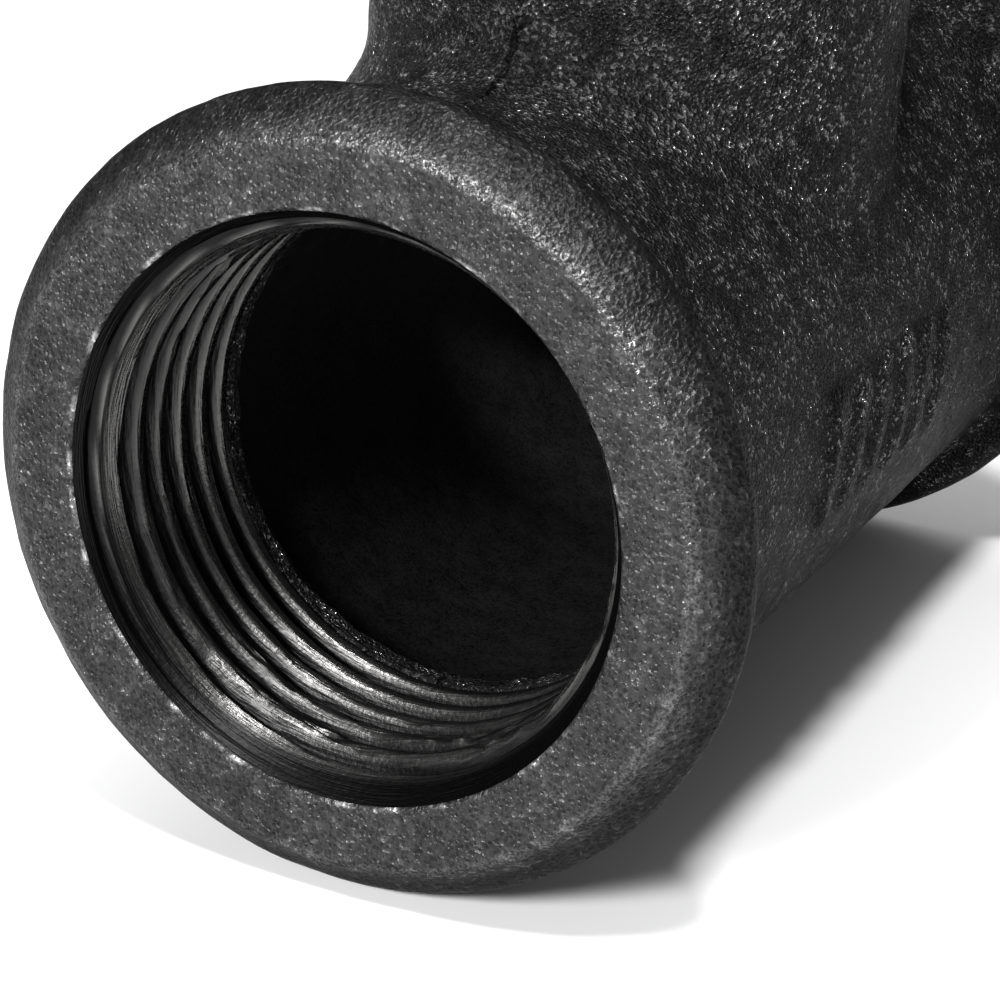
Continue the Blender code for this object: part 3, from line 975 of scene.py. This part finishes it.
@dataclass
class ThreadTree:
    """The Geometry Nodes tree that turns a grid into a tapped thread with a chamfered mouth."""

    name: str = "TappedThread"
    inputs: tuple[str, ...] = (
        "Major Radius", "Minor Radius", "Mouth Radius", "Ring Radius", "Length", "Pitch",
        "Chamfer Slope", "Tear Depth",
    )
    rows: int = 106
    columns: int = 241
    weld: float = 0.002 * MM
    inner_share: float = 0.97
    first_depth: float = 0.08 * MM

    def build(self) -> bpy.types.NodeTree:
        """Builds the tree once, for every socket.

        Returns:
            The node tree.
        """
        tree = bpy.data.node_groups.new(self.name, "GeometryNodeTree")
        for name in self.inputs:
            tree.interface.new_socket(name, in_out="INPUT", socket_type="NodeSocketFloat")
        tree.interface.new_socket("Finish", in_out="INPUT", socket_type="NodeSocketMaterial")
        tree.interface.new_socket("Geometry", in_out="OUTPUT", socket_type="NodeSocketGeometry")
        graph = Graph(tree)
        entry = tree.nodes.new("NodeGroupInput")
        sizes = {name: Wire(graph, entry.outputs[name]) for name in self.inputs}
        spans = {"Size X": 1.0, "Size Y": 1.0, "Vertices X": self.rows, "Vertices Y": self.columns}
        grid = graph.node("GeometryNodeMeshGrid", {}, spans)
        u, turn = (part + 0.5 for part in graph.split(graph.node("GeometryNodeInputPosition"))[:2])
        depth, radius, crest = self._profile(graph, sizes, u, turn)
        angle = turn * math.tau
        around = graph.vector(radius * angle.cosine(), radius * angle.sine(), depth)
        stored = {"Geometry": grid, "Name": "crest", "Value": crest}
        settings = {"data_type": "FLOAT", "domain": "POINT"}
        marked = graph.node("GeometryNodeStoreNamedAttribute", settings, stored)
        shaped = graph.node("GeometryNodeSetPosition", {}, {"Geometry": marked, "Position": around})
        joined = {"Geometry": shaped, "Distance": self.weld}
        welded = graph.node("GeometryNodeMergeByDistance", {}, joined)
        dressing = {"Geometry": welded, "Material": Wire(graph, entry.outputs["Finish"])}
        dressed = graph.node("GeometryNodeSetMaterial", {}, dressing)
        graph.feed(tree.nodes.new("NodeGroupOutput"), {"Geometry": dressed})
        return tree

    def _profile(
        self, graph: Graph, sizes: dict[str, Wire], u: Wire, turn: Wire
    ) -> tuple[Wire, Wire, Wire]:
        """Depth, radius and crest weight of each grid point.

        Args:
            graph: the graph being built.
            sizes: the tree's named inputs.
            u: 0 to 1 across the grid: the last part of it turns back along the ring's outside.
            turn: 0 to 1 round the socket.

        Returns:
            Depth from the mouth, radius, and a crest weight: 1 on crests falling to 0 in roots, 0 over
            about the first millimetre as painted shade on the chamfer, raised on the next turns and on
            the deep turns as a painted highlight, and at least a set level along the chamfer's edge.
        """
        inner, start = self.inner_share, self.first_depth
        on_wall = (u / inner).ramp(1.0, 0.9999)
        inward = graph.node("ShaderNodeClamp", {}, {"Value": u / inner})
        back = graph.node("ShaderNodeClamp", {}, {"Value": (u - inner) / (1 - inner)})
        depth = start + (sizes["Length"] - start) * (inward - back.ramp(0.30, 1.0))
        tears = self._tears(graph, sizes, depth, turn)
        phase = depth / sizes["Pitch"] - turn
        rise = (2 * (phase.fraction() - 0.5).magnitude() - 1).magnitude()
        root = rise.ramp(0.22, 0.90)
        height = sizes["Major Radius"] - sizes["Minor Radius"]
        cut = sizes["Minor Radius"] + height * root + tears * (1 - root)
        cone = sizes["Mouth Radius"] - sizes["Chamfer Slope"] * depth
        wall = cut.at_least(cone)
        radius = wall * on_wall + sizes["Ring Radius"] * (1 - on_wall)
        # Painted shade: the crest weight is 0 over about the first millimetre from the mouth, so the
        # chamfer is drawn dark.
        crest = (1 - root).power(2.6) * on_wall * depth.ramp(1.0 * MM, 1.9 * MM)
        # Painted highlight: the crests are drawn lighter near the mouth and on the deep turns.
        painted_highlight = 1 + 0.6 * depth.ramp(3.4 * MM, 2.4 * MM) + 0.5 * depth.ramp(5.0 * MM, 8.0 * MM)
        # A lighter line is drawn where the thread meets the chamfer.
        chamfer_edge_line = (cut - cone).magnitude().ramp(0.16 * MM, 0.04 * MM) * depth.ramp(0.9 * MM, 1.2 * MM)
        return depth, radius, (crest * painted_highlight).at_least(1.3 * chamfer_edge_line * on_wall)

    def _tears(self, graph: Graph, sizes: dict[str, Wire], depth: Wire, turn: Wire) -> Wire:
        """How much iron the tap tore from the crests, worst on the middle turns."""
        angle = turn * math.tau
        torn = graph.vector(angle.cosine() * 5.0, angle.sine() * 5.0, depth / (0.35 * MM))
        noise = graph.noise(torn, 1.0, 4.0)
        wave = graph.vector(angle.cosine() * 1.5, angle.sine() * 1.5, depth / (3.0 * MM))
        zone = graph.noise(wave, 1.0, 1.0)
        share = depth / sizes["Length"]
        middle = share.ramp(0.12, 0.24) * share.ramp(0.72, 0.50)
        return sizes["Tear Depth"] * noise.ramp(0.42, 0.75) * zone.ramp(0.30, 0.55) * middle


@dataclass
class Thread:
    """One tapped thread: a closed ring whose inside is the right-hand thread and the mouth's chamfer."""

    end: End
    socket: Socket
    axis_height: float
    finish: CutFinish = field(default_factory=CutFinish)
    tear_depth: float = 0.32 * MM

    def build(self, tree: bpy.types.NodeTree) -> bpy.types.Object:
        """Shapes the ring with the tree and puts it in its socket.

        Args:
            tree: the shared thread tree.

        Returns:
            The thread's object.
        """
        holder = place_object("thread_grid", bpy.data.meshes.new("thread_grid"))
        modifier = holder.modifiers.new("thread", "NODES")
        modifier.node_group = tree
        for name, value in self._sizes().items():
            modifier[tree.interface.items_tree[name].identifier] = value
        evaluated = holder.evaluated_get(bpy.context.evaluated_depsgraph_get())
        mesh = bpy.data.meshes.new_from_object(evaluated)
        bpy.data.objects.remove(holder, do_unlink=True)
        mesh.transform(socket_matrix(self.end, self.socket, self.axis_height))
        finish_mesh(mesh, 60, bridged=True)
        return place_object(f"thread_{self.end.name.lower()}", mesh)

    def _sizes(self) -> dict[str, object]:
        """Values for the tree's named inputs."""
        return {
            "Major Radius": self.socket.thread_major,
            "Minor Radius": self.socket.thread_minor,
            "Mouth Radius": self.socket.mouth_radius,
            "Ring Radius": self.socket.thread_major + self.socket.ring_wall,
            "Length": self.socket.thread_length,
            "Pitch": PITCH,
            "Chamfer Slope": CHAMFER_SLOPE,
            "Tear Depth": self.tear_depth,
            "Finish": self.finish.build(self.end),
        }


# ---- studio


@dataclass(frozen=True)
class SoftLight:
    """A square soft light aimed at the tee."""

    name: str
    place: Place
    side: float
    watts: float

    def build(self, target: Vector) -> None:
        """Adds the light, turned to the target."""
        data = bpy.data.lights.new(self.name, "AREA")
        data.shape = "SQUARE"
        data.size = self.side
        data.energy = self.watts
        item = place_object(self.name, data)
        item.location = self.place
        item.rotation_euler = (target - Vector(self.place)).to_track_quat("-Z", "Y").to_euler()


@dataclass(frozen=True)
class Studio:
    """Pale floor, even sky, soft lights and the camera."""

    eye: Place = (-0.126987, -0.052989, 0.062592)
    forward: Place = (0.84517, 0.39335, -0.36190)
    upward: Place = (0.30558, 0.19992, 0.93094)
    lens_mm: float = 99.68
    sky: float = 0.16
    floor_shade: float = 0.93
    floor_half: float = 1.5
    lights: tuple[SoftLight, ...] = (
        SoftLight("key", (-0.481, 0.068, 0.277), 0.12, 4.2),
        SoftLight("top", (-0.20, -0.09, 0.54), 0.07, 3.0),
        SoftLight("overhead", (0.15, 0.20, 0.80), 0.80, 3.0),
    )

    def build(self, target: Vector) -> None:
        """Builds the whole set round the tee.

        Args:
            target: the point that the lights are aimed at.
        """
        self._sky()
        self._floor()
        for light in self.lights:
            light.build(target)
        self._camera()

    def _sky(self) -> None:
        """A plain white surrounding light."""
        world = bpy.data.worlds.new("sky")
        world.use_nodes = True
        back = world.node_tree.nodes["Background"]
        Graph(world.node_tree).feed(back, {"Color": grey(1.0), "Strength": self.sky})
        bpy.context.scene.world = world
        bpy.context.scene.view_settings.view_transform = "Standard"

    def _floor(self) -> None:
        """A wide pale floor under the tee."""
        material, graph, shader = start_material("pale_floor")
        graph.feed(shader, {"Base Color": grey(self.floor_shade), "Roughness": 0.9})
        half = self.floor_half
        corners = np.array([(-half, -half, 0), (half, -half, 0), (half, half, 0), (-half, half, 0)])
        floor = mesh_object("floor", corners, [(0, 1, 2, 3)], material)

    def _camera(self) -> None:
        """The camera, looking into the near socket from above its side."""
        data = bpy.data.cameras.new("camera")
        data.lens = self.lens_mm
        data.clip_start = 0.002
        item = place_object("camera", data)
        forward, upward = Vector(self.forward), Vector(self.upward)
        turn = Matrix((forward.cross(upward), upward, -forward)).transposed().to_4x4()
        item.matrix_world = Matrix.Translation(self.eye) @ turn
        bpy.context.scene.camera = item


def register(piece: bpy.types.Object, nodes: Iterable[str]) -> None:
    """Ties a finished piece to the part's body and the nodes it stands for."""
    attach(piece, "root")
    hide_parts(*nodes)
    LOG.info("%s: %d faces for %s", piece.name, len(piece.data.polygons), ", ".join(nodes))


def main() -> None:
    """Builds the casting, its threads and the studio."""
    logging.basicConfig(level=logging.INFO, format="%(message)s")
    sockets = tee_sockets()
    axis_height = sockets[End.NEAR].band_radius
    casting = Casting(sockets, axis_height).build()
    tapped = {end.thread_node for end in End}
    register(casting, [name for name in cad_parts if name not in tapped])
    tree = ThreadTree().build()
    for end in End:
        thread = Thread(end, sockets[end], axis_height).build(tree)
        register(thread, [end.thread_node])
    Studio().build(Vector((0, 0, axis_height)))


if __name__ == "__main__":
    main()
